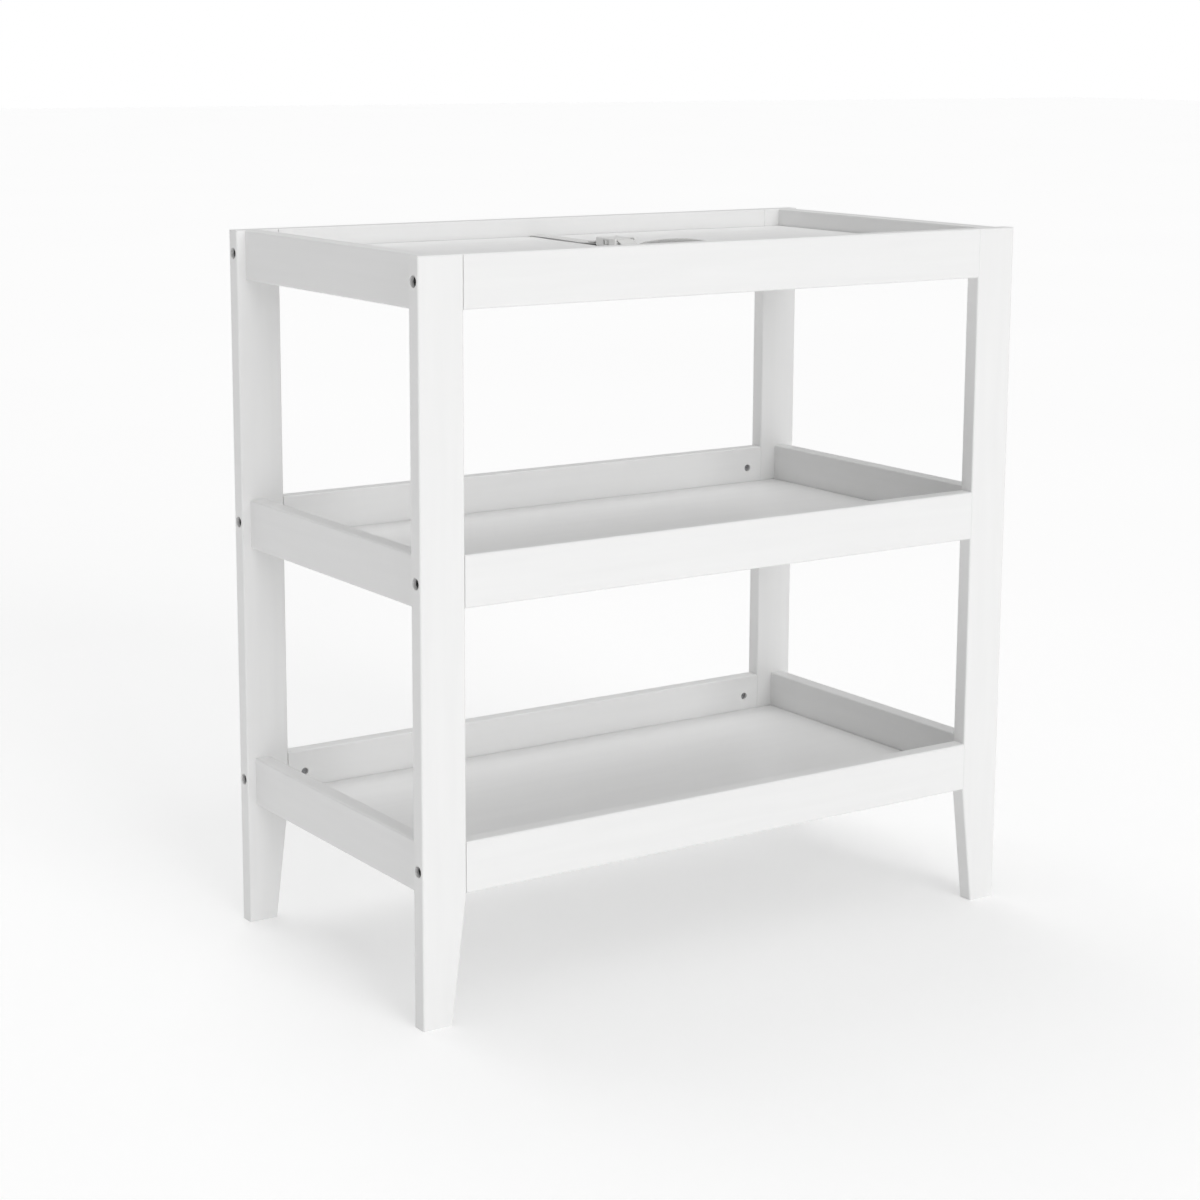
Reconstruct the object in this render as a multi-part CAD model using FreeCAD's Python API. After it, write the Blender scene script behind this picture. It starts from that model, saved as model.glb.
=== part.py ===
"""Changing table: a white painted timber frame that carries three shallow trays, in millimetres.

X runs along the length, -Y is the front, +Z is up. The origin is the middle of the footprint, on the floor.
"""

import FreeCAD, Part
import math
import os

Vector = FreeCAD.Vector

# Overall size
length = 900.0                  # over the legs, along X
depth = 480.0                   # over the legs, along Y
height = 915.0                  # floor to rim of the top tray

# Boards
board_thickness = 22.0          # legs and long rails, which lie flush with each other
board_round = 2.5               # round along the long edges of legs and rails
leg_width = 60.0
foot_width = 40.0               # the leg tapers to this width at the floor
rail_height = 63.5
end_rail_thickness = 22.0
end_rail_inset = 12.0           # end rail's outer face, in from the leg's outer edge

# Tiers: the rim of each tray, and how far its floor panel lies below that rim
rims = {"top": height, "middle": 568.0, "bottom": 223.5}
panel_drops = {"top": 24.0, "middle": 49.7, "bottom": 49.7}
panel_thickness = 5.0
panel_gap = 1.2                 # between a floor panel and the rails, all round
panel_chamfer = 0.4

# Cleats that carry the floor panels
cleat_width = 12.0
cleat_height = 7.5
cleat_end_gap = 8.0             # long cleat's end to the barrel nut, end cleat's end to the leg is panel_gap

# Joint bolts and their barrel nuts, one pair at each end of each long rail
bolt_radius = 3.0
bolt_length = 80.0
bolt_head_radius = 6.2
bolt_head_height = 5.0
bolt_head_round = 0.8
bolt_head_recess = 4.0          # head's face, in from the leg's outer edge
bolt_socket_flats = 5.0
bolt_socket_depth = 3.0
bolt_rise = 2.4                 # bolt's axis above the middle of the rail
bolt_clearance = 0.5            # all round the shank
counterbore_radius = 7.2
nut_radius = 5.0
nut_length = 14.0
nut_inset = 24.0                # nut's axis, in from the end of the rail
nut_slot_width = 1.4
nut_slot_depth = 1.2
nut_clearance = 0.1
thread_clearance = 0.05

# Glued wooden dowels, two beside each bolt and two in each end of each end rail
dowel_radius = 4.0
dowel_length = 30.0
dowel_spread = 18.0             # above and below the bolt's axis
end_dowel_in_leg = 15.0
glue_gap = 0.05                 # all round a dowel

# Pan head wood screws: through the cleats into the rails, and up through the cleats into the panels
screw_radius = 1.6
screw_head_radius = 3.0
screw_head_height = 1.6
screw_slot_width = 0.7
screw_slot_depth = 0.8
screw_cross_share = 0.6         # cross slot's reach, of the head's radius
screw_clearance = 0.05
rail_screw_length = 26.0
panel_screw_length = 11.0
screw_end_margin = 30.0         # first rail screw, in from the end of its cleat
screw_stagger = 20.0            # panel screw, along the cleat from the rail screw

# Safety strap across the top tray
strap_width = 25.0
strap_thickness = 1.5
strap_gap = 0.2                 # strap to whatever it lies on
strap_bend = 2.75               # bend of its centre line over the edge of the panel
strap_tail_drop = 28.0          # strap's hidden end, below the top of the panel
strap_notch_margin = 1.5        # notch in panel and cleat, past each edge of the strap
anchor_drop = 20.0              # anchor screw, below the top of the panel
anchor_screw_radius = 2.0
anchor_screw_length = 18.0
anchor_head_radius = 4.0
anchor_head_height = 2.4
washer_radius = 7.0
washer_thickness = 1.0
washer_clearance = 0.2          # washer's bore, all round its screw

# Slack line of the front strap from its anchor to the buckle: X, Y and height above where it lies flat
slack_line = [(9, -193, 0.3), (40, -172, 1.5), (67, -148, 3), (77, -122, 5), (64, -100, 8), (38, -88, 11)]
slack_line += [(10, -77, 11.5), (-7, -62, 9)]
slack_line_steps = 40
lean_from_height = 5.0          # above this the strap banks round its bend
lean_rate = 2.6                 # degrees for each millimetre more

# Side release buckle: its mouth is at buckle_x, buckle_y and it lies in line with the rear strap
buckle_x = -10.0
buckle_y = 4.0
buckle_height = 12.0
buckle_lift = 0.3               # buckle above the panel
buckle_round = 2.5
strap_side_clearance = 0.8      # webbing in the slot beside its bar, at each edge
bar_side_wall = 3.2             # buckle beside the strap's slot
socket_length = 31.0
socket_wall = 4.0               # beside the cavity
socket_floor = 2.8              # below and above the cavity
tongue_base_length = 15.0
slide_clearance = 0.35          # tongue in socket, all round
blade_width = 6.0
blade_length = 17.0
blade_end_clearance = 3.0
prong_width = 3.0
prong_length = 14.0
prong_root = 1.0                # how far prongs and blade start inside the base
prong_head_length = 7.0
prong_head_ramp = 2.5           # slope at the back of the prong's head
prong_nose = 2.0                # slope at its front
prong_nose_step = 1.5           # how far the nose draws in
window_end_clearance = 1.0      # side opening past the end of the prong
bar_thickness = 3.5             # strap bar, along the strap
bar_height = 4.2
bar_slot = 6.0                  # opening beside the strap bar
loop_gap = 1.0                  # webbing to strap bar
loop_tail = 30.0                # folded end of the webbing, stitched down beyond the bar
loop_lead = 12.0                # bar to where the webbing's two layers meet
loop_lead_rise = 0.8            # what they still stand apart there
fold_end_clearance = 4.0        # folded end to the first point of the strap's free run
free_run = 30.0                 # flat stretch of the rear strap, between its first two points
slack_lead = 6.0                # folded end of the front strap to its first raised point
slack_lead_rise = 4.0

sides = {"left": -1, "right": 1}
faces = {"front": -1, "rear": 1}

# Places that several pieces share
taper_height = rims["bottom"] - rail_height
rail_half = length / 2 - leg_width
inner_y = depth / 2 - board_thickness
board_y = depth / 2 - board_thickness / 2
end_rail_x = length / 2 - end_rail_inset - end_rail_thickness / 2
inner_x = end_rail_x - end_rail_thickness / 2
bolt_seat = bolt_head_recess + bolt_head_height
long_cleat_half = rail_half - nut_inset - nut_radius - cleat_end_gap
end_cleat_half = inner_y - panel_gap
strap_notch_half = strap_width / 2 + strap_notch_margin
buckle_width = strap_width + 2 * (strap_side_clearance + bar_side_wall)
cavity_width = buckle_width - 2 * socket_wall
prong_reach = prong_length - prong_root
tongue_low = socket_floor + slide_clearance
tongue_high = buckle_height - tongue_low


def panel_top(tier):
    """Height of the upper face of a tray's floor panel."""
    return rims[tier] - panel_drops[tier]


def bolt_height(tier):
    """Height of the joint bolts' axis in one tier."""
    return rims[tier] - rail_height / 2 + bolt_rise


def block(x0, x1, y0, y1, z0, z1):
    """A box between two limits on each axis, given in either order."""
    low = Vector(min(x0, x1), min(y0, y1), min(z0, z1))
    return Part.makeBox(abs(x1 - x0), abs(y1 - y0), abs(z1 - z0), low)


def rod(x, y, z, direction, radius, reach):
    """A cylinder from a point along a direction."""
    return Part.makeCylinder(radius, reach, Vector(x, y, z), Vector(*direction))


def round_along(shape, axis, radius):
    """Round the straight edges that run along one axis."""
    edges = []
    for edge in shape.Edges:
        run = edge.Vertexes[-1].Point - edge.Vertexes[0].Point
        if run.Length > 0 and abs(run.normalize().dot(axis)) > 0.999:
            edges.append(edge)
    return shape.makeFillet(radius, edges)


def drill(shape, holes):
    """Take a list of hole solids out of a piece."""
    return shape.cut(Part.makeCompound(holes)).removeSplitter()


def save(name, solids):
    """Write one sub-part, as one solid or as a group of separate solids."""
    shape = solids[0] if len(solids) == 1 else Part.makeCompound(solids)
    shape.exportStep("parts/" + name + ".step")


# ---- Legs and rails


def bolt_hole(side, face, tier):
    """Clearance hole for a joint bolt, from the leg's outer edge to past the nut."""
    reach = leg_width + nut_inset + nut_radius + nut_clearance
    outside = side * length / 2
    return rod(outside, face * board_y, bolt_height(tier), (-side, 0, 0), bolt_radius + bolt_clearance, reach)


def dowel_hole(side, face, tier, offset):
    """Hole for a dowel across the joint of leg and long rail."""
    start = side * (rail_half + dowel_length / 2)
    z = bolt_height(tier) + offset
    return rod(start, face * board_y, z, (-side, 0, 0), dowel_radius + glue_gap, dowel_length)


def end_dowel_hole(side, face, tier, offset):
    """Hole for a dowel across the joint of leg and end rail."""
    start = face * (inner_y + end_dowel_in_leg)
    z = bolt_height(tier) + offset
    return rod(side * end_rail_x, start, z, (0, -face, 0), dowel_radius + glue_gap, dowel_length)


def nut_hole(side, face, tier):
    """Blind hole for a barrel nut, from the rail's inner face to the nut's far end."""
    reach = board_thickness / 2 + nut_length / 2
    x = side * (rail_half - nut_inset)
    return rod(x, face * inner_y, bolt_height(tier), (0, face, 0), nut_radius + nut_clearance, reach)


def leg(side, face):
    """Plank leg, straight on its outer edge and tapered on its inner edge below the bottom tray."""
    outside = side * length / 2
    inside = side * rail_half
    toe = outside - side * foot_width
    y = face * depth / 2
    corners = [(outside, 0), (toe, 0), (inside, taper_height), (inside, height), (outside, height)]
    points = [Vector(x, y, z) for x, z in corners + corners[:1]]
    plank = Part.Face(Part.makePolygon(points)).extrude(Vector(0, -face * board_thickness, 0))
    rims_of_plank = []
    for edge in plank.Edges:
        first, last = edge.Vertexes[0].Point, edge.Vertexes[-1].Point
        on_floor = first.z < 1 and last.z < 1
        if abs(first.y - last.y) < 0.01 and not on_floor:
            rims_of_plank.append(edge)
    plank = plank.makeFillet(board_round, rims_of_plank)
    holes = []
    for tier in rims:
        holes.append(bolt_hole(side, face, tier))
        centre = (outside, face * board_y, bolt_height(tier))
        holes.append(rod(*centre, (-side, 0, 0), counterbore_radius, bolt_seat))
        for offset in (-dowel_spread, dowel_spread):
            holes.append(dowel_hole(side, face, tier, offset))
            holes.append(end_dowel_hole(side, face, tier, offset))
    return drill(plank, holes)


def long_rail(face, tier):
    """Front or rear rail, butted between two legs and flush with both of their faces."""
    rim = rims[tier]
    board = block(-rail_half, rail_half, face * inner_y, face * depth / 2, rim - rail_height, rim)
    board = round_along(board, Vector(1, 0, 0), board_round)
    holes = []
    for side in sides.values():
        holes.append(bolt_hole(side, face, tier))
        holes.append(nut_hole(side, face, tier))
        for offset in (-dowel_spread, dowel_spread):
            holes.append(dowel_hole(side, face, tier, offset))
    for x in rail_screw_places(long_cleat_half, 4):
        holes.append(long_rail_screw_hole(x, face, tier))
    if tier == "top":
        holes.append(anchor_hole(face))
    return drill(board, holes)


def end_rail(side, tier):
    """Short rail between a front and a rear leg, set in from their outer edges."""
    rim = rims[tier]
    outer = side * (end_rail_x + end_rail_thickness / 2)
    board = block(side * inner_x, outer, -inner_y, inner_y, rim - rail_height, rim)
    board = round_along(board, Vector(0, 1, 0), board_round)
    holes = []
    for face in faces.values():
        for offset in (-dowel_spread, dowel_spread):
            holes.append(end_dowel_hole(side, face, tier, offset))
    for y in rail_screw_places(end_cleat_half, 2):
        holes.append(end_rail_screw_hole(side, y, tier))
    return drill(board, holes)


# ---- Floor panels, cleats and their screws


def rail_screw_places(half, count):
    """Places of the screws that hold one cleat to its rail, spread evenly along it."""
    first = -(half - screw_end_margin)
    step = -2 * first / (count - 1)
    return [first + step * index for index in range(count)]


def panel_screw_places(half, count):
    """Places of the screws that hold one cleat to its panel, each shifted towards the middle."""
    return [place - math.copysign(screw_stagger, place) for place in rail_screw_places(half, count)]


def cleat_middle(tier):
    """Height of the middle of a cleat."""
    return panel_top(tier) - panel_thickness - cleat_height / 2


def long_rail_screw_hole(x, face, tier):
    """Hole for a cleat screw, through a long cleat and into its rail."""
    start = face * (inner_y - cleat_width)
    return rod(x, start, cleat_middle(tier), (0, face, 0), screw_radius + screw_clearance, rail_screw_length)


def end_rail_screw_hole(side, y, tier):
    """Hole for a cleat screw, through an end cleat and into its rail."""
    start = side * (inner_x - cleat_width)
    return rod(start, y, cleat_middle(tier), (side, 0, 0), screw_radius + screw_clearance, rail_screw_length)


def panel_screw_hole(x, y, tier):
    """Hole for a panel screw, up through a cleat and into its panel."""
    start = panel_top(tier) - panel_thickness - cleat_height
    return rod(x, y, start, (0, 0, 1), screw_radius + screw_clearance, panel_screw_length)


def panel_screw_spots():
    """Every panel screw's place in plan."""
    spots = []
    for face in faces.values():
        for x in panel_screw_places(long_cleat_half, 4):
            spots.append((x, face * (inner_y - cleat_width / 2)))
    for side in sides.values():
        for y in panel_screw_places(end_cleat_half, 2):
            spots.append((side * (inner_x - cleat_width / 2), y))
    return spots


def strap_notch(face):
    """Room for the strap where it turns down between the panel and the rail."""
    bend_y = face * (inner_y - strap_gap - strap_thickness / 2 - strap_bend)
    top = panel_top("top")
    inside = bend_y - face * strap_gap
    return block(-strap_notch_half, strap_notch_half, inside, face * inner_y, top - strap_tail_drop, top)


def panel(tier):
    """Loose board that makes a tray's floor, with a narrow gap all round."""
    x, y, top = inner_x - panel_gap, inner_y - panel_gap, panel_top(tier)
    board = block(-x, x, -y, y, top - panel_thickness, top)
    upper = [edge for edge in board.Edges if min(v.Z for v in edge.Vertexes) > top - 0.01]
    board = board.makeChamfer(panel_chamfer, upper)
    holes = [panel_screw_hole(*spot, tier) for spot in panel_screw_spots()]
    if tier == "top":
        holes += [strap_notch(face) for face in faces.values()]
    return drill(board, holes)


def long_cleat(face, tier):
    """Strip under the front or rear edge of a panel, which stops short of the barrel nuts."""
    top = panel_top(tier) - panel_thickness
    inside = face * (inner_y - cleat_width)
    strip = block(-long_cleat_half, long_cleat_half, inside, face * inner_y, top - cleat_height, top)
    holes = [long_rail_screw_hole(x, face, tier) for x in rail_screw_places(long_cleat_half, 4)]
    middle = face * (inner_y - cleat_width / 2)
    holes += [panel_screw_hole(x, middle, tier) for x in panel_screw_places(long_cleat_half, 4)]
    if tier == "top":
        holes.append(strap_notch(face))
    return drill(strip, holes)


def end_cleat(side, tier):
    """Strip under the left or right edge of a panel."""
    top = panel_top(tier) - panel_thickness
    inside = side * (inner_x - cleat_width)
    strip = block(inside, side * inner_x, -end_cleat_half, end_cleat_half, top - cleat_height, top)
    holes = [end_rail_screw_hole(side, y, tier) for y in rail_screw_places(end_cleat_half, 2)]
    middle = side * (inner_x - cleat_width / 2)
    holes += [panel_screw_hole(middle, y, tier) for y in panel_screw_places(end_cleat_half, 2)]
    return drill(strip, holes)


# ---- Fasteners, each made pointing along +Z from its seat and then turned into place


def place(shape, x, y, z, direction):
    """Turn a piece made along +Z to a direction and move it to a point."""
    turned = shape.copy()
    turn = FreeCAD.Rotation(Vector(0, 0, 1), Vector(*direction))
    turned.Placement = FreeCAD.Placement(Vector(x, y, z), turn)
    return turned


def joint_bolt():
    """Cap bolt with a hexagon socket, seated at the origin."""
    head = rod(0, 0, -bolt_head_height, (0, 0, 1), bolt_head_radius, bolt_head_height)
    rim = [edge for edge in head.Edges if edge.BoundBox.ZMax < 0.01 - bolt_head_height]
    head = head.makeFillet(bolt_head_round, rim)
    corner = bolt_socket_flats / math.sqrt(3)
    turns = [math.radians(60 * step) for step in range(7)]
    outline = [Vector(corner * math.cos(t), corner * math.sin(t), -bolt_head_height) for t in turns]
    socket = Part.Face(Part.makePolygon(outline)).extrude(Vector(0, 0, bolt_socket_depth))
    return head.fuse(rod(0, 0, 0, (0, 0, 1), bolt_radius, bolt_length)).cut(socket).removeSplitter()


def barrel_nut():
    """Cross dowel nut, its slotted end at the origin and its thread hole across its middle."""
    body = rod(0, 0, 0, (0, 0, 1), nut_radius, nut_length)
    hole_radius = bolt_radius + thread_clearance
    hole = rod(-nut_radius, 0, nut_length / 2, (1, 0, 0), hole_radius, 2 * nut_radius)
    slot = block(-nut_radius, nut_radius, -nut_slot_width / 2, nut_slot_width / 2, 0, nut_slot_depth)
    return body.cut(hole).cut(slot)


def wood_screw(radius, reach, head_radius, head_height):
    """Pan head screw with a cross slot, seated at the origin."""
    head = rod(0, 0, -head_height, (0, 0, 1), head_radius, head_height)
    shape = rod(0, 0, 0, (0, 0, 1), radius, reach).fuse(head)
    half, wide = screw_cross_share * head_radius, screw_slot_width / 2
    bottom = screw_slot_depth - head_height
    cross = block(-half, half, -wide, wide, -head_height, bottom)
    cross = cross.fuse(block(-wide, wide, -half, half, -head_height, bottom))
    return shape.cut(cross).removeSplitter()


def joint_hardware():
    """Every joint bolt, barrel nut and dowel, by kind."""
    bolts, nuts, dowels, end_dowels = [], [], [], []
    bolt, nut = joint_bolt(), barrel_nut()
    dowel = rod(0, 0, 0, (0, 0, 1), dowel_radius, dowel_length)
    for tier in rims:
        for side in sides.values():
            for face in faces.values():
                z = bolt_height(tier)
                bolts.append(place(bolt, side * (length / 2 - bolt_seat), face * board_y, z, (-side, 0, 0)))
                nut_y = face * (board_y - nut_length / 2)
                nuts.append(place(nut, side * (rail_half - nut_inset), nut_y, z, (0, face, 0)))
                for level in (z - dowel_spread, z + dowel_spread):
                    start = side * (rail_half + dowel_length / 2)
                    dowels.append(place(dowel, start, face * board_y, level, (-side, 0, 0)))
                    start = face * (inner_y + end_dowel_in_leg)
                    end_dowels.append(place(dowel, side * end_rail_x, start, level, (0, -face, 0)))
    return bolts, nuts, dowels, end_dowels


def cleat_screws():
    """Every screw that holds a cleat to its rail."""
    screw = wood_screw(screw_radius, rail_screw_length, screw_head_radius, screw_head_height)
    screws = []
    for tier in rims:
        z = cleat_middle(tier)
        for face in faces.values():
            for x in rail_screw_places(long_cleat_half, 4):
                screws.append(place(screw, x, face * (inner_y - cleat_width), z, (0, face, 0)))
        for side in sides.values():
            for y in rail_screw_places(end_cleat_half, 2):
                screws.append(place(screw, side * (inner_x - cleat_width), y, z, (side, 0, 0)))
    return screws


def panel_screws():
    """Every screw that holds a panel to its cleats."""
    screw = wood_screw(screw_radius, panel_screw_length, screw_head_radius, screw_head_height)
    screws = []
    for tier in rims:
        z = panel_top(tier) - panel_thickness - cleat_height
        screws += [place(screw, *spot, z, (0, 0, 1)) for spot in panel_screw_spots()]
    return screws


# ---- Safety strap and its anchors


def anchor_hole(face):
    """Pilot hole for an anchor screw in the inner face of a top rail."""
    z = panel_top("top") - anchor_drop
    depth_in_rail = anchor_screw_length - washer_thickness - strap_thickness - strap_gap
    return rod(0, face * inner_y, z, (0, face, 0), anchor_screw_radius + screw_clearance, depth_in_rail)


def anchor_seat(face):
    """Place of an anchor's washer: on the strap, which lies on the rail's inner face."""
    return face * (inner_y - strap_gap - strap_thickness)


def anchor_washer(face):
    """Flat washer that spreads the screw's grip on the webbing."""
    z = panel_top("top") - anchor_drop
    outer = rod(0, anchor_seat(face), z, (0, -face, 0), washer_radius, washer_thickness)
    bore_radius = anchor_screw_radius + washer_clearance
    return outer.cut(rod(0, anchor_seat(face), z, (0, -face, 0), bore_radius, washer_thickness))


def anchor_screw(face):
    """Screw through the washer and the webbing into a top rail."""
    screw = wood_screw(anchor_screw_radius, anchor_screw_length, anchor_head_radius, anchor_head_height)
    z = panel_top("top") - anchor_drop
    return place(screw, 0, anchor_seat(face) - face * washer_thickness, z, (0, face, 0))


def buckle_turn():
    """Direction of the rear strap in plan, from the buckle to its anchor, as an angle from +Y."""
    return math.atan2(-buckle_x, inner_y - buckle_y)


def buckle_point(y, z):
    """A point on the buckle's middle plane: y along the strap from the mouth, z above the panel."""
    turn = buckle_turn()
    return Vector(buckle_x + y * math.sin(turn), buckle_y + y * math.cos(turn), panel_top("top") + z)


def strap_tail(face):
    """Strap's middle line from its hidden end up over the edge of the panel."""
    outer_y = inner_y - strap_gap - strap_thickness / 2
    centre_y = outer_y - strap_bend
    run_z = panel_top("top") + strap_gap + strap_thickness / 2
    centre_z = run_z - strap_bend
    points = [Vector(0, face * outer_y, panel_top("top") - strap_tail_drop)]
    for step in range(5):
        angle = math.radians(90 * step / 4)
        y = centre_y + strap_bend * math.cos(angle)
        points.append(Vector(0, face * y, centre_z + strap_bend * math.sin(angle)))
    return points


def strap_loop(way, bar_y):
    """Strap's middle line under a bar, round it and back, with its end folded onto the strap."""
    radius = bar_height / 2 + loop_gap + strap_thickness / 2
    bar_z = buckle_lift + buckle_height / 2
    fold = strap_gap + strap_thickness
    points = [buckle_point(way * (bar_y + loop_lead), bar_z - radius)]
    for step in range(9):
        angle = math.radians(-90 + 180 * step / 8)
        y = way * (bar_y - radius * math.cos(angle))
        points.append(buckle_point(y, bar_z + radius * math.sin(angle)))
    points.append(buckle_point(way * (bar_y + loop_lead), bar_z - radius + fold + loop_lead_rise))
    points.append(buckle_point(way * (bar_y + loop_tail), bar_z - radius + fold))
    return points


def webbing(points, headings, leans):
    """Flat webbing that follows a line, each cross-section with its own heading in plan and its own lean."""
    sections = []
    for index, point in enumerate(points):
        before = points[max(index - 1, 0)]
        after = points[min(index + 1, len(points) - 1)]
        level = Vector(math.cos(headings[index]), -math.sin(headings[index]), 0)
        across = level * math.cos(leans[index]) - Vector(0, 0, math.sin(leans[index]))
        normal = (after - before).cross(across).normalize()
        half, thick = across * (strap_width / 2), normal * (strap_thickness / 2)
        corners = [point + half + thick, point - half + thick, point - half - thick, point + half - thick]
        sections.append(Part.makePolygon(corners + corners[:1]))
    return Part.makeLoft(sections, True, True)


def rear_strap():
    """Webbing from the rear anchor to the buckle's socket."""
    bar_y = socket_length - bar_thickness / 2
    tail, loop = strap_tail(1), strap_loop(1, bar_y)
    run_z = strap_gap + strap_thickness / 2
    fold_end = bar_y + loop_tail + fold_end_clearance
    run = [buckle_point(fold_end + free_run, run_z), buckle_point(fold_end, run_z)]
    headings = [0.0] * len(tail) + [buckle_turn()] * (len(run) + len(loop))
    line = tail + run + loop
    return drill(webbing(line, headings, [0.0] * len(line)), [strap_hole(1)])


def strap_hole(face):
    """Hole in the webbing for its anchor screw."""
    z = panel_top("top") - anchor_drop
    reach = strap_thickness + strap_gap
    return rod(0, anchor_seat(face), z, (0, face, 0), anchor_screw_radius + screw_clearance, reach)


def front_strap():
    """Webbing from the front anchor to the buckle's tongue, slack, raised and banked where it bends."""
    bar_y = tongue_base_length - bar_thickness / 2
    tail, loop = strap_tail(-1), strap_loop(-1, bar_y)
    flat_z = panel_top("top") + strap_gap + strap_thickness / 2
    bends = [tail[-1]] + [Vector(x, y, flat_z + rise) for x, y, rise in slack_line]
    raised = flat_z - panel_top("top") + slack_lead_rise
    bends += [buckle_point(-bar_y - loop_tail - slack_lead, raised), loop[0]]
    curve = Part.BSplineCurve()
    curve.interpolate(bends)
    run = curve.discretize(Number=slack_line_steps)[1:-1]
    line = tail + run + loop
    headings = [0.0] * len(tail)
    leans = [0.0] * len(tail)
    for index, point in enumerate(run, len(tail)):
        ahead = line[index + 1] - line[index - 1]
        headings.append(math.atan2(ahead.x, ahead.y))
        leans.append(math.radians(lean_rate) * max(point.z - flat_z - lean_from_height, 0))
    headings += [buckle_turn()] * len(loop)
    leans += [0.0] * len(loop)
    return drill(webbing(line, headings, leans), [strap_hole(-1)])


# ---- Buckle, made along +Y from its mouth with its underside at z = 0, and then moved into place


def seat_buckle(shape):
    """Move a buckle piece from its own frame to its place on the tray."""
    spin = FreeCAD.Rotation(Vector(0, 0, 1), -math.degrees(buckle_turn()))
    shape.Placement = FreeCAD.Placement(Vector(buckle_x, buckle_y, panel_top("top") + buckle_lift), spin)
    return shape


def strap_bar(way, end):
    """What is cut away to leave a strap bar at one end of a buckle half."""
    half = strap_width / 2 + strap_side_clearance
    inner_end = end - way * bar_thickness
    slot = block(-half, half, inner_end - way * bar_slot, inner_end, 0, buckle_height)
    low = (buckle_height - bar_height) / 2
    below = block(-half, half, inner_end, end, 0, low)
    above = block(-half, half, inner_end, end, buckle_height - low, buckle_height)
    return slot.fuse(below).fuse(above)


def buckle_socket():
    """Hollow half of the buckle, open at its mouth and at both sides."""
    half = buckle_width / 2
    shell = block(-half, half, 0, socket_length, 0, buckle_height)
    shell = round_along(shell, Vector(0, 1, 0), buckle_round)
    ceiling = buckle_height - socket_floor
    cavity_end = blade_length + blade_end_clearance
    cavity = block(-cavity_width / 2, cavity_width / 2, 0, cavity_end, socket_floor, ceiling)
    windows = block(-half, half, 0, prong_reach + window_end_clearance, socket_floor, ceiling)
    return shell.cut(cavity).cut(windows).cut(strap_bar(1, socket_length)).removeSplitter()


def prong(side):
    """Springy side arm of the tongue, with the head that is squeezed to open the buckle."""
    outside = cavity_width / 2 - slide_clearance
    head = buckle_width / 2 - slide_clearance
    back = prong_length - prong_head_length
    tip = [
        (outside - prong_width, 0),
        (outside, 0),
        (outside, back - prong_head_ramp),
        (head, back),
        (head, prong_reach - prong_nose),
        (outside - prong_nose_step, prong_reach),
        (outside - prong_width, prong_reach),
    ]
    points = [Vector(side * x, y - prong_root, tongue_low) for x, y in tip + tip[:1]]
    return Part.Face(Part.makePolygon(points)).extrude(Vector(0, 0, tongue_high - tongue_low))


def buckle_tongue():
    """Pronged half of the buckle: strap bar, base, guide blade and two prongs, moulded in one."""
    half = buckle_width / 2
    base = block(-half, half, -tongue_base_length, -slide_clearance, 0, buckle_height)
    base = round_along(base, Vector(0, 1, 0), buckle_round)
    base = base.cut(strap_bar(-1, -tongue_base_length))
    blade = block(-blade_width / 2, blade_width / 2, -prong_root, blade_length, tongue_low, tongue_high)
    shape = base.fuse(blade)
    for side in sides.values():
        shape = shape.fuse(prong(side))
    return shape.removeSplitter()


# ---- Write every sub-part

os.makedirs("parts", exist_ok=True)

for face_name, face in faces.items():
    for side_name, side in sides.items():
        save(face_name + "_" + side_name + "_leg", [leg(side, face)])

for tier in rims:
    for face_name, face in faces.items():
        save(tier + "_" + face_name + "_rail", [long_rail(face, tier)])
        save(tier + "_" + face_name + "_cleat", [long_cleat(face, tier)])
    for side_name, side in sides.items():
        save(tier + "_" + side_name + "_rail", [end_rail(side, tier)])
        save(tier + "_" + side_name + "_cleat", [end_cleat(side, tier)])
    save(tier + "_panel", [panel(tier)])

bolts, nuts, dowels, end_dowels = joint_hardware()
save("joint_bolts", bolts)
save("barrel_nuts", nuts)
save("long_rail_dowels", dowels)
save("end_rail_dowels", end_dowels)
save("cleat_screws", cleat_screws())
save("panel_screws", panel_screws())

save("rear_strap", [rear_strap()])
save("front_strap", [front_strap()])
save("strap_washers", [anchor_washer(face) for face in faces.values()])
save("strap_screws", [anchor_screw(face) for face in faces.values()])
save("buckle_socket", [seat_buckle(buckle_socket())])
save("buckle_tongue", [seat_buckle(buckle_tongue())])
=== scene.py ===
"""Changing table in a plain white studio: paint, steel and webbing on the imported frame, with soft light."""

import bmesh
import bpy
import math
from mathutils import Matrix, Vector
from mathutils.geometry import interpolate_bezier


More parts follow.
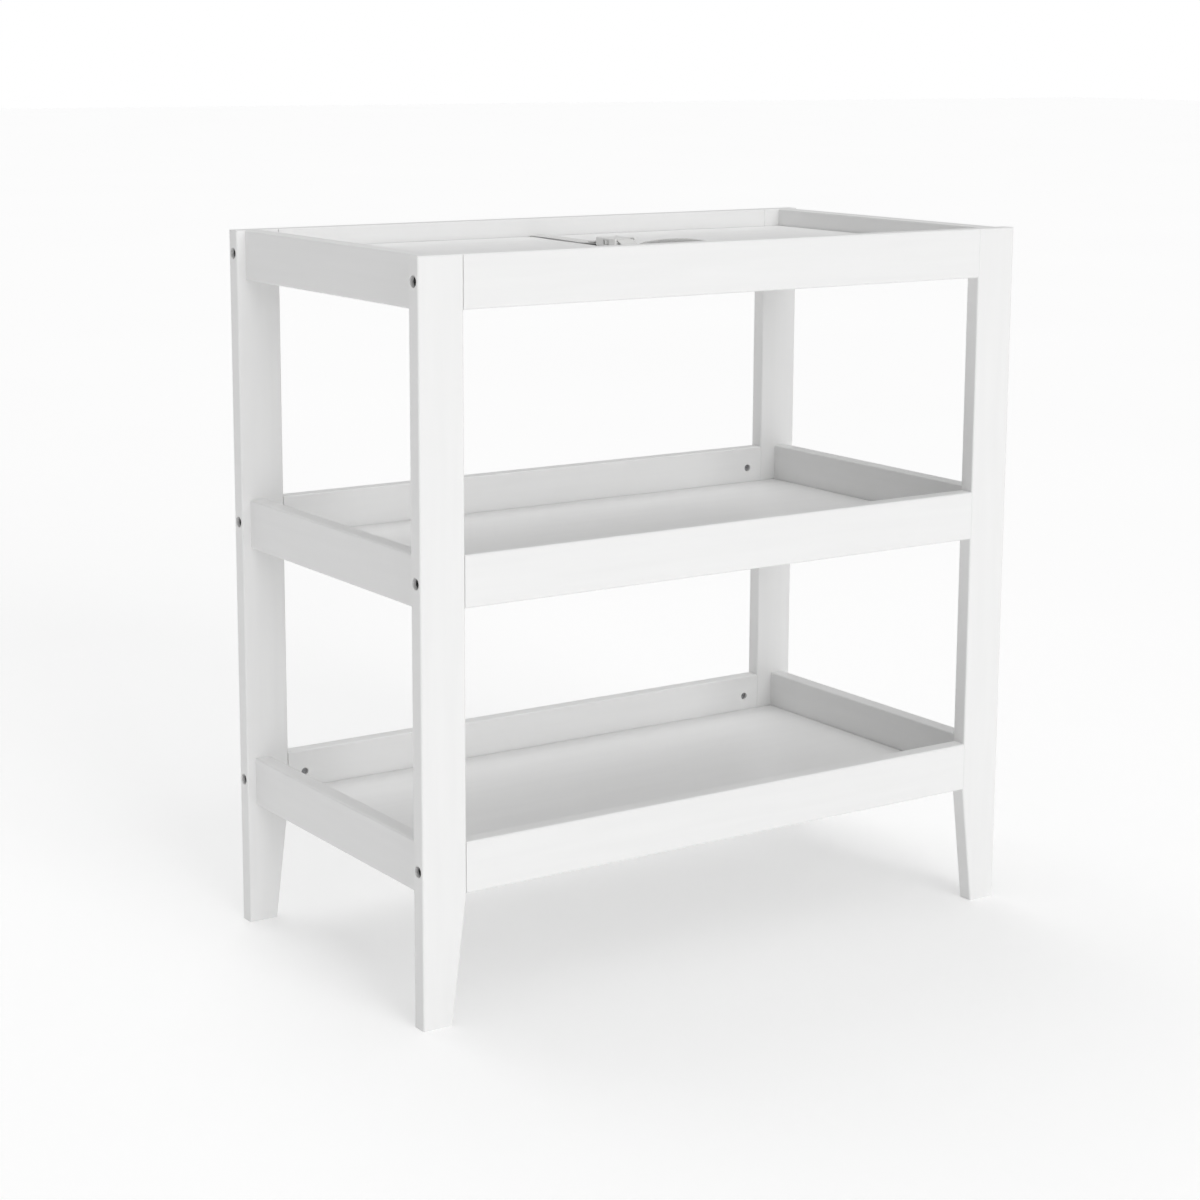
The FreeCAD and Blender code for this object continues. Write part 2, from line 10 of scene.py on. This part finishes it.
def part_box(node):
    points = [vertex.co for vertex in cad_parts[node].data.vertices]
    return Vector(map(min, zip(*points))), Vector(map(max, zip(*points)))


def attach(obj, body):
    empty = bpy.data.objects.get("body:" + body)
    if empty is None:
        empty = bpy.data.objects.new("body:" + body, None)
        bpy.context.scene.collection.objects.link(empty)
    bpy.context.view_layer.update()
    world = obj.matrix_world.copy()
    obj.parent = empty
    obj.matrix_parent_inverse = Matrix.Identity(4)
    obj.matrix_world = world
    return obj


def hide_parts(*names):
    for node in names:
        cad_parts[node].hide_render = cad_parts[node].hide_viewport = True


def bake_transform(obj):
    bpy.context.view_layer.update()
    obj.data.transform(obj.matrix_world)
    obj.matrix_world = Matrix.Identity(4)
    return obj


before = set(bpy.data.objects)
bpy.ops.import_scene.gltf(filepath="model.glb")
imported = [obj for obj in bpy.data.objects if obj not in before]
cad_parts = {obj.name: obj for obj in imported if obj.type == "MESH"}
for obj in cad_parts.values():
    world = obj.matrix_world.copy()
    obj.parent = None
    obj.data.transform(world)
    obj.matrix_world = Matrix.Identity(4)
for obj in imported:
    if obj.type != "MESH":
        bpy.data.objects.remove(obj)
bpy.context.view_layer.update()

# Places read from the frame, in metres
PANEL_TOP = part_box("top_panel")[1].z
RAIL_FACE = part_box("top_rear_rail")[0].y          # inner face of the rear rail, and minus it at the front

# Safety strap
STRAP_WIDTH = 0.025
STRAP_THICKNESS = 0.0014
STRAP_GAP = 0.0002
STRAP_BEND = 0.00275
ROUTE_HALF = 0.00075                              # half the thickness that the strap's route leaves room for
TAIL_DROP = 0.028
TAIL_SHARES = (1, 0.75, 0.5, 0.25)                # of the drop, at the points down the hidden end
TAIL_BEND_STEPS = 6
RUN_HEIGHT = 0.00095                              # strap's middle above the panel where it lies flat
BUCKLE_MOUTH = Vector((-0.010, 0.004))
BUCKLE_TURN = math.atan2(-BUCKLE_MOUTH.x, RAIL_FACE - BUCKLE_MOUTH.y)
BAR_HEIGHT_ABOVE_PANEL = 0.0063                   # middle of each strap bar
LOOP_RADIUS = 0.00385
LOOP_STEPS = 12
LOOP_LEAD = (0.012, 0.005)                        # points before the bar, by their distance from it
LOOP_TAIL = 0.030
SOCKET_BAR = 0.02925                              # bars' middles along the buckle, from its mouth
TONGUE_BAR = 0.01325
FOLD_HEIGHT = BAR_HEIGHT_ABOVE_PANEL - LOOP_RADIUS + STRAP_GAP + 2 * ROUTE_HALF
FOLD_LINE = [(0.006, 0.0035), (0.012, 0.0008), (0.021, 0.0), (LOOP_TAIL, 0.0)]    # from the bar, and rise
# Rear strap's run: X, Y and rise near its anchor, then distance from the buckle's mouth and rise
REAR_START = (0.0005, 0.200, 0.0003)
REAR_RUN = [(0.150, 0.0006), (0.110, 0.0003), (SOCKET_BAR + 0.045, 0.0003)]
# Slack line of the front strap from its anchor to the buckle: X, Y and height above where it lies flat
SLACK_LINE = [
    (0.009, -0.193, 0.0003), (0.040, -0.172, 0.0015), (0.067, -0.148, 0.003), (0.077, -0.122, 0.005),
    (0.064, -0.100, 0.008), (0.038, -0.088, 0.011), (0.010, -0.077, 0.0115), (-0.007, -0.062, 0.009),
]
SLACK_LEAD = (0.006, 0.004)                       # last point before the folded end: how far off, and rise
LEAN_FROM = RUN_HEIGHT + 0.005                    # above this height the strap banks round its bend
LEAN_RATE = math.radians(2600)                    # for each metre more
CURVE_STEP = 0.002                                # steps along the smoothed line, then along the webbing
RIBBON_STEP = 0.0015
TURN_REACH = 6                                    # points each way that give the direction of the line
SETTLE_REACH = 8                                  # points each way that the direction across is averaged over
TAIL_TOP = 0.0005                                 # above the panel: lower points are on the hidden end
LEVEL_RUN = 0.004                                 # shortest level run that gives a direction
EDGE_ROUND = 0.0006
PROFILE_STEPS = 8
STITCH_ROWS = (0.018, 0.026)                      # distances from the bar
STITCH_COUNT = 8
STITCH_PITCH = 0.0027
STITCH_SIZE = (0.00105, 0.0003, 0.0002)
STITCH_ROUND = {"u_segments": 10, "v_segments": 6, "radius": 1}

# Camera and light
CAMERA_PLACE = Vector((-1.871, -2.715, 1.149))
CAMERA_YAW = math.radians(-33.98)
CAMERA_PITCH = math.radians(-10.24)
CAMERA_ROLL = math.radians(0.26)
CAMERA_LENS = 76.4
CAMERA_SENSOR = 36
CAMERA_SHIFT_Y = -0.08
CAMERA_REACH = 100
FLOOR_HALF = 40.0
FLOOR_GLOW = 0.13
SKY_LEVELS = (0.0, 0.90)                          # at the horizon and overhead
SUNS = {                                          # azimuth from the front, elevation, strength, softness
    "front_low": (0, 14, 1.06, 30),
    "front_high": (0, 50, 0.22, 40),
    "back_high": (180, 60, 0.50, 40),
}

# Finishes: each NOISE is a scale and a detail, each RELIEF a bump's strength and its depth in metres,
# each ROUGH one roughness or the two that it varies between, and each SHADES a dark and a light colour
NOISE_RANGE = (0.25, 0.75)                        # where nearly all of a noise lies
PAINT_WHITE = (0.870, 0.870, 0.867)
PAINT_SHADE = 0.975                               # darkest grain, as a share of the white
PAINT_GRAIN_SHARE = 0.6                           # height of the grain against the fine peel of the paint
PAINT_GRAIN_NOISE = (1.0, 6.0)
PAINT_PEEL_NOISE = (900.0, 2.0)
PAINT_RELIEF = (0.25, 0.00005)
PAINT_ROUGH = (0.36, 0.46)
PAINT_IOR = 1.48
ALONG_X, ALONG_Y, ALONG_Z = (6, 90, 90), (90, 6, 90), (90, 90, 6)     # grain of a board along each axis
PANEL_GRAIN = (5, 60, 60)
BLACK_STEEL = ((0.030, 0.030, 0.032), (0.070, 0.070, 0.074), 0.38)    # dark, light, lowest roughness
DULL_ZINC = ((0.30, 0.30, 0.31), (0.42, 0.42, 0.43), 0.45)
BRIGHT_ZINC = ((0.42, 0.42, 0.43), (0.56, 0.56, 0.58), 0.28)
STEEL_NOISE = (700.0, 4.0)
STEEL_RELIEF = (0.15, 0.00003)
STEEL_ROUGH_RANGE = 0.12
BEECH_GRAIN = (60, 60, 900)
BEECH_NOISE = (1.0, 5.0)
BEECH_SHADES = ((0.47, 0.30, 0.16), (0.64, 0.46, 0.28))
BEECH_RELIEF = (0.3, 0.0001)
BEECH_ROUGH = 0.6
PLASTIC_NOISE = (1600.0, 2.0)
PLASTIC_SHADES = ((0.80, 0.80, 0.79), (0.84, 0.84, 0.83))
PLASTIC_RELIEF = (0.2, 0.00003)
PLASTIC_ROUGH = (0.34, 0.46)
PLASTIC_IOR = 1.49
RIB_SCALE, RIDGE_SCALE = 170.0, 9.0               # waves along the webbing and round it
WEAVE_DISTORTION = 0.4
WEBBING_SHADES = ((0.66, 0.66, 0.65), (0.84, 0.84, 0.83))
WEBBING_RELIEF = (0.6, 0.0002)
WEBBING_ROUGH = 0.85
WEBBING_SHEEN, WEBBING_SHEEN_ROUGH = 0.25, 0.5
FLOOR_NOISE = (0.7, 2.0)
FLOOR_SHADES = ((0.96, 0.96, 0.96), (0.97, 0.97, 0.97))
FLOOR_ROUGH = 0.9


# ---- Node helpers


class Shader:
    """A node material that is built up in a few calls."""

    def __init__(self, name):
        self.material = bpy.data.materials.new(name)
        self.material.use_nodes = True
        self.tree = self.material.node_tree
        self.surface = self.tree.nodes["Principled BSDF"]

    def node(self, kind, **values):
        """Add a node and set its inputs or settings by name."""
        made = self.tree.nodes.new(kind)
        for key, value in values.items():
            label = key.replace("_", " ").capitalize()
            if label in made.inputs:
                made.inputs[label].default_value = value
            else:
                setattr(made, key, value)
        return made

    def link(self, source, target):
        """Join two sockets."""
        self.tree.links.new(source, target)

    def stretched(self, scale=(1, 1, 1)):
        """Object coordinates, scaled along each axis."""
        place = self.node("ShaderNodeTexCoord")
        mapping = self.node("ShaderNodeMapping")
        mapping.inputs["Scale"].default_value = scale
        self.link(place.outputs["Object"], mapping.inputs["Vector"])
        return mapping.outputs["Vector"]

    def noise(self, vector, scale, detail):
        """Noise from 0 to 1."""
        noise = self.node("ShaderNodeTexNoise", scale=scale, detail=detail)
        self.link(vector, noise.inputs["Vector"])
        return noise.outputs["Fac"]

    def spread(self, value, low, high):
        """A 0 to 1 value, spread over a range."""
        ramp = self.node("ShaderNodeMapRange")
        ramp.inputs["From Min"].default_value, ramp.inputs["From Max"].default_value = NOISE_RANGE
        ramp.inputs["To Min"].default_value = low
        ramp.inputs["To Max"].default_value = high
        self.link(value, ramp.inputs["Value"])
        return ramp.outputs["Result"]

    def tint(self, value, dark, light):
        """Base colour between two colours."""
        mix = self.node("ShaderNodeMix", data_type="RGBA")
        first, second = [socket for socket in mix.inputs if socket.type == "RGBA"]
        first.default_value = (*dark, 1)
        second.default_value = (*light, 1)
        self.link(self.spread(value, 0.0, 1.0), mix.inputs["Factor"])
        result = [socket for socket in mix.outputs if socket.type == "RGBA"][0]
        self.link(result, self.surface.inputs["Base Color"])

    def bump(self, value, strength, distance):
        """Fine relief."""
        bump = self.node("ShaderNodeBump")
        bump.inputs["Strength"].default_value = strength
        bump.inputs["Distance"].default_value = distance
        self.link(value, bump.inputs["Height"])
        self.link(bump.outputs["Normal"], self.surface.inputs["Normal"])


# ---- Materials


def paint(name, grain):
    """Satin white paint on wood, with a faint grain drawn out along the board."""
    shader = Shader(name)
    along = shader.stretched(grain)
    fibres = shader.noise(along, *PAINT_GRAIN_NOISE)
    peel = shader.noise(shader.stretched(), *PAINT_PEEL_NOISE)
    shader.tint(fibres, [PAINT_SHADE * value for value in PAINT_WHITE], PAINT_WHITE)
    shader.link(shader.spread(peel, *PAINT_ROUGH), shader.surface.inputs["Roughness"])
    height = shader.node("ShaderNodeMath", operation="MULTIPLY_ADD")
    shader.link(fibres, height.inputs[0])
    height.inputs[1].default_value = PAINT_GRAIN_SHARE
    shader.link(peel, height.inputs[2])
    shader.bump(height.outputs["Value"], *PAINT_RELIEF)
    shader.surface.inputs["IOR"].default_value = PAINT_IOR
    return shader.material


def steel(name, dark, light, rough):
    """Plated or blackened steel, a little uneven."""
    shader = Shader(name)
    cloud = shader.noise(shader.stretched(), *STEEL_NOISE)
    shader.tint(cloud, dark, light)
    rough_value = shader.spread(cloud, rough, rough + STEEL_ROUGH_RANGE)
    shader.link(rough_value, shader.surface.inputs["Roughness"])
    shader.surface.inputs["Metallic"].default_value = 1.0
    shader.bump(cloud, *STEEL_RELIEF)
    return shader.material


def beech(name):
    """Bare beech, with short dark flecks along the dowel."""
    shader = Shader(name)
    fleck = shader.noise(shader.stretched(BEECH_GRAIN), *BEECH_NOISE)
    shader.tint(fleck, *BEECH_SHADES)
    shader.surface.inputs["Roughness"].default_value = BEECH_ROUGH
    shader.bump(fleck, *BEECH_RELIEF)
    return shader.material


def plastic(name):
    """White moulded plastic with a fine spark-eroded grain."""
    shader = Shader(name)
    grain = shader.noise(shader.stretched(), *PLASTIC_NOISE)
    shader.tint(grain, *PLASTIC_SHADES)
    shader.link(shader.spread(grain, *PLASTIC_ROUGH), shader.surface.inputs["Roughness"])
    shader.surface.inputs["IOR"].default_value = PLASTIC_IOR
    shader.bump(grain, *PLASTIC_RELIEF)
    return shader.material


def cloth(name):
    """White woven webbing: ribs across it and ridges along it, laid out on the strap's own length."""
    shader = Shader(name)
    place = shader.node("ShaderNodeTexCoord")
    ribs = []
    for direction, scale in (("Y", RIB_SCALE), ("X", RIDGE_SCALE)):
        wave = shader.node("ShaderNodeTexWave", bands_direction=direction, scale=scale)
        wave.inputs["Distortion"].default_value = WEAVE_DISTORTION
        shader.link(place.outputs["UV"], wave.inputs["Vector"])
        ribs.append(wave.outputs["Fac"])
    weave = shader.node("ShaderNodeMath", operation="MULTIPLY")
    shader.link(ribs[0], weave.inputs[0])
    shader.link(ribs[1], weave.inputs[1])
    shader.tint(weave.outputs["Value"], *WEBBING_SHADES)
    shader.surface.inputs["Roughness"].default_value = WEBBING_ROUGH
    shader.surface.inputs["Sheen Weight"].default_value = WEBBING_SHEEN
    shader.surface.inputs["Sheen Roughness"].default_value = WEBBING_SHEEN_ROUGH
    shader.bump(weave.outputs["Value"], *WEBBING_RELIEF)
    return shader.material


MATERIALS = {
    "leg": paint("paint_upright", ALONG_Z),
    "long_board": paint("paint_lengthwise", ALONG_X),
    "end_board": paint("paint_crosswise", ALONG_Y),
    "panel": paint("paint_panel", PANEL_GRAIN),
    "joint_bolts": steel("black_steel", *BLACK_STEEL),
    "barrel_nuts": steel("dull_zinc", *DULL_ZINC),
    "screws": steel("bright_zinc", *BRIGHT_ZINC),
    "dowels": beech("bare_beech"),
    "buckle": plastic("white_plastic"),
    "webbing": cloth("white_webbing"),
    "thread": plastic("white_thread"),
}


def material_key(node):
    """Which material a CAD node takes."""
    if node.endswith("_leg"):
        return "leg"
    if node.endswith("_panel"):
        return "panel"
    if node.endswith("_rail") or node.endswith("_cleat"):
        return "end_board" if "_left_" in node or "_right_" in node else "long_board"
    if node.endswith("_dowels"):
        return "dowels"
    if node in ("joint_bolts", "barrel_nuts"):
        return node
    if node.endswith("_screws") or node.endswith("_washers"):
        return "screws"
    return "webbing" if node.endswith("_strap") else "buckle"


def finish_cad_nodes():
    """Give every carried-over CAD node its material, in the slots that it already has."""
    for name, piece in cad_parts.items():
        material = MATERIALS[material_key(name)]
        for slot in piece.material_slots:
            slot.material = material


# ---- Safety strap


def buckle_point(along, up):
    """A point on the buckle's middle plane: along the strap from the mouth, and up from the panel."""
    x = BUCKLE_MOUTH.x + along * math.sin(BUCKLE_TURN)
    y = BUCKLE_MOUTH.y + along * math.cos(BUCKLE_TURN)
    return Vector((x, y, PANEL_TOP + up))


def tail_points(face):
    """Strap's line from its screwed end, hidden under the tray, up over the edge of the panel."""
    outer = RAIL_FACE - STRAP_GAP - ROUTE_HALF
    centre_y, centre_z = outer - STRAP_BEND, PANEL_TOP + RUN_HEIGHT - STRAP_BEND
    points = [Vector((0, face * outer, PANEL_TOP - TAIL_DROP * share)) for share in TAIL_SHARES]
    for step in range(TAIL_BEND_STEPS + 1):
        angle = math.radians(90 * step / TAIL_BEND_STEPS)
        y = centre_y + STRAP_BEND * math.cos(angle)
        points.append(Vector((0, face * y, centre_z + STRAP_BEND * math.sin(angle))))
    return points


def loop_points(way, bar):
    """Strap's line under a strap bar, round it and back onto the strap."""
    low = BAR_HEIGHT_ABOVE_PANEL - LOOP_RADIUS
    points = [buckle_point(way * (bar + lead), low) for lead in LOOP_LEAD]
    for step in range(LOOP_STEPS + 1):
        angle = math.radians(-90 + 180 * step / LOOP_STEPS)
        along = way * (bar - LOOP_RADIUS * math.cos(angle))
        points.append(buckle_point(along, BAR_HEIGHT_ABOVE_PANEL + LOOP_RADIUS * math.sin(angle)))
    for lead, rise in FOLD_LINE:
        points.append(buckle_point(way * (bar + lead), FOLD_HEIGHT + rise))
    return points


def smooth(points):
    """A smooth line through the given points, in steps of about the same length."""
    line = []
    for index in range(len(points) - 1):
        before = points[max(index - 1, 0)]
        start, end = points[index], points[index + 1]
        after = points[min(index + 2, len(points) - 1)]
        span = (end - start).length
        pull = span / 3
        first = start + (end - before).normalized() * pull
        second = end - (after - start).normalized() * pull
        count = max(2, round(span / CURVE_STEP))
        line += interpolate_bezier(start, first, second, end, count + 1)[:-1]
    return line + [points[-1]]


def even(line):
    """The same line, cut into equal steps, with its length."""
    reach = [0.0]
    for first, second in zip(line, line[1:]):
        reach.append(reach[-1] + (second - first).length)
    count = round(reach[-1] / RIBBON_STEP)
    points, index = [], 0
    for number in range(count + 1):
        target = reach[-1] * number / count
        while index < len(line) - 2 and reach[index + 1] < target:
            index += 1
        span = reach[index + 1] - reach[index]
        points.append(line[index].lerp(line[index + 1], (target - reach[index]) / span))
    return points, reach[-1]


def across_line(line):
    """Level direction across the strap at each point, steady through its loops and its upright stretch."""
    sides, last = [], Vector((1, 0, 0))
    for index, point in enumerate(line):
        before, after = line[max(index - TURN_REACH, 0)], line[min(index + TURN_REACH, len(line) - 1)]
        turned = Vector((after.y - before.y, before.x - after.x, 0))
        if point.z < PANEL_TOP + TAIL_TOP:
            last = Vector((1, 0, 0))
        elif turned.length > LEVEL_RUN:
            last = turned.normalized() if turned.dot(last) > 0 else -turned.normalized()
        sides.append(last)
    settled = []
    for index in range(len(sides)):
        near = sides[max(index - SETTLE_REACH, 0):index + SETTLE_REACH + 1]
        settled.append(sum(near, Vector()).normalized())
    return settled


def no_lean(point):
    """The rear strap lies level all along."""
    return 0.0


def slack_lean(point):
    """How far the front strap banks where it is raised, past its folded end."""
    past_fold = point.y < BUCKLE_MOUTH.y - TONGUE_BAR - LOOP_TAIL
    return LEAN_RATE * max(point.z - PANEL_TOP - LEAN_FROM, 0) if past_fold else 0.0


def band_profile():
    """Webbing's cross-section, once round: across and up from its middle."""
    half, thick = STRAP_WIDTH / 2, STRAP_THICKNESS / 2
    flat = 2 * half - 2 * EDGE_ROUND
    upper = [(-half + EDGE_ROUND + flat * step / PROFILE_STEPS, thick) for step in range(PROFILE_STEPS + 1)]
    lower = [(-across, -up) for across, up in upper]
    return upper + [(half, 0.0)] + lower + [(-half, 0.0)]


def ribbon(name, line, lean):
    """Webbing along a line, with a lean at each point. Its UV map is the share round it and metres along."""
    mesh = bpy.data.meshes.new(name)
    shape = bmesh.new()
    uv = shape.loops.layers.uv.new("UVMap")
    profile = band_profile()
    across = across_line(line)
    rings, gone = [], 0.0
    for index, point in enumerate(line):
        tangent = (line[min(index + 1, len(line) - 1)] - line[max(index - 1, 0)]).normalized()
        side = across[index] - tangent * across[index].dot(tangent)
        side.normalize()
        side = Matrix.Rotation(lean(point), 3, tangent) @ side
        normal = side.cross(tangent).normalized()
        if index:
            gone += (point - line[index - 1]).length
        ring = [shape.verts.new(point + side * u + normal * v) for u, v in profile]
        rings.append((ring, gone))
    count = len(profile)
    for (near, start), (far, end) in zip(rings, rings[1:]):
        for step in range(count):
            other = (step + 1) % count
            face = shape.faces.new((near[step], near[other], far[other], far[step]))
            face.smooth = True
            spots = ((step, start), (step + 1, start), (step + 1, end), (step, end))
            for loop, (column, row) in zip(face.loops, spots):
                loop[uv].uv = (column / count, row)
    for ring in (rings[0][0], list(reversed(rings[-1][0]))):
        shape.faces.new(ring)
    bmesh.ops.recalc_face_normals(shape, faces=shape.faces)
    shape.to_mesh(mesh)
    shape.free()
    piece = bpy.data.objects.new(name, mesh)
    bpy.context.collection.objects.link(piece)
    mesh.materials.append(MATERIALS["webbing"])
    return piece


def strap(name, points, lean):
    """One half of the strap as webbing, and its length."""
    line, length = even(smooth(points))
    piece = ribbon(name, line, lean)
    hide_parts(name.replace("_webbing", ""))
    return piece, length


def stitches(name, way, bar):
    """Two rows of thread across the folded end of the webbing."""
    top = FOLD_HEIGHT + STRAP_THICKNESS / 2
    shape = bmesh.new()
    side = Vector((math.cos(BUCKLE_TURN), -math.sin(BUCKLE_TURN), 0))
    for row in STITCH_ROWS:
        for place in range(STITCH_COUNT):
            middle = buckle_point(way * (bar + row), top)
            middle += side * (place - (STITCH_COUNT - 1) / 2) * STITCH_PITCH
            turn = Matrix.Translation(middle) @ Matrix.Rotation(-BUCKLE_TURN, 4, "Z")
            size = Matrix.Diagonal((*STITCH_SIZE, 1))
            bmesh.ops.create_uvsphere(shape, matrix=turn @ size, **STITCH_ROUND)
    mesh = bpy.data.meshes.new(name)
    shape.to_mesh(mesh)
    shape.free()
    mesh.materials.append(MATERIALS["thread"])
    for face in mesh.polygons:
        face.use_smooth = True
    piece = bpy.data.objects.new(name, mesh)
    bpy.context.collection.objects.link(piece)
    return piece


def rear_strap():
    """Webbing from the rear anchor to the socket, which stays with the frame."""
    loop = loop_points(1, SOCKET_BAR)
    x, y, rise = REAR_START
    run = [Vector((x, y, PANEL_TOP + RUN_HEIGHT + rise))]
    run += [buckle_point(along, RUN_HEIGHT + rise) for along, rise in REAR_RUN]
    piece, length = strap("rear_strap_webbing", tail_points(1) + run + loop, no_lean)
    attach(piece, "frame")
    thread = stitches("rear_stitching", 1, SOCKET_BAR)
    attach(thread, "frame")


def front_strap():
    """Slack webbing from the front anchor to the tongue, with its stitching on the tongue."""
    loop = loop_points(-1, TONGUE_BAR)
    run = [Vector((x, y, PANEL_TOP + RUN_HEIGHT + rise)) for x, y, rise in SLACK_LINE]
    lead, rise = SLACK_LEAD
    run.append(buckle_point(-TONGUE_BAR - LOOP_TAIL - lead, RUN_HEIGHT + rise))
    piece, length = strap("front_strap_webbing", tail_points(-1) + run + loop, slack_lean)
    thread = stitches("front_stitching", -1, TONGUE_BAR)
    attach(thread, "tongue")
    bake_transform(piece)


# ---- Studio


def studio_floor():
    """Wide white floor under the feet."""
    mesh = bpy.data.meshes.new("floor")
    corners = [(x * FLOOR_HALF, y * FLOOR_HALF, 0) for x, y in ((-1, -1), (1, -1), (1, 1), (-1, 1))]
    mesh.from_pydata(corners, [], [(0, 1, 2, 3)])
    floor = bpy.data.objects.new("floor", mesh)
    bpy.context.collection.objects.link(floor)
    shader = Shader("floor_paper")
    cloud = shader.noise(shader.stretched(), *FLOOR_NOISE)
    shader.tint(cloud, *FLOOR_SHADES)
    shader.surface.inputs["Roughness"].default_value = FLOOR_ROUGH
    shader.surface.inputs["Specular IOR Level"].default_value = 0.0
    shader.surface.inputs["Emission Color"].default_value = (1, 1, 1, 1)
    shader.surface.inputs["Emission Strength"].default_value = FLOOR_GLOW
    mesh.materials.append(shader.material)


def sky():
    """White backdrop, and a soft surround that grows from dark at the horizon to bright overhead."""
    world = bpy.data.worlds.new("surround")
    world.use_nodes = True
    bpy.context.scene.world = world
    nodes, links = world.node_tree.nodes, world.node_tree.links
    place = nodes.new("ShaderNodeTexCoord")
    split = nodes.new("ShaderNodeSeparateXYZ")
    links.new(place.outputs["Generated"], split.inputs["Vector"])
    dome = nodes.new("ShaderNodeMapRange")
    dome.inputs["To Min"].default_value, dome.inputs["To Max"].default_value = SKY_LEVELS
    links.new(split.outputs["Z"], dome.inputs["Value"])
    rays = nodes.new("ShaderNodeLightPath")
    seen = nodes.new("ShaderNodeMath")
    seen.operation = "MAXIMUM"
    links.new(dome.outputs["Result"], seen.inputs[0])
    links.new(rays.outputs["Is Camera Ray"], seen.inputs[1])
    links.new(seen.outputs["Value"], nodes["Background"].inputs["Color"])


def sun(name, azimuth, elevation, strength, softness):
    """Broad soft light from a direction: azimuth 0 is the front, positive to the left; all in degrees."""
    light = bpy.data.lights.new(name, "SUN")
    light.energy = strength
    light.angle = math.radians(softness)
    lamp = bpy.data.objects.new(name, light)
    turn, rise = math.radians(azimuth), math.radians(elevation)
    toward = Vector((-math.sin(turn) * math.cos(rise), -math.cos(turn) * math.cos(rise), math.sin(rise)))
    lamp.rotation_euler = toward.to_track_quat("Z", "Y").to_euler()
    bpy.context.collection.objects.link(lamp)


def camera():
    """Camera at the front left, a little above the rim, looking down."""
    data = bpy.data.cameras.new("camera")
    data.lens = CAMERA_LENS
    data.sensor_width = CAMERA_SENSOR
    data.shift_y = CAMERA_SHIFT_Y
    data.clip_end = CAMERA_REACH
    piece = bpy.data.objects.new("camera", data)
    turn = Matrix.Rotation(CAMERA_YAW, 3, "Z")
    turn @= Matrix.Rotation(math.pi / 2 + CAMERA_PITCH, 3, "X")
    turn @= Matrix.Rotation(CAMERA_ROLL, 3, "Z")
    piece.rotation_euler = turn.to_euler()
    piece.location = CAMERA_PLACE
    bpy.context.collection.objects.link(piece)
    bpy.context.scene.camera = piece


finish_cad_nodes()
rear_strap()
front_strap()
studio_floor()
sky()
for name, light in SUNS.items():
    sun(name, *light)
camera()
bpy.context.scene.view_settings.view_transform = "Standard"
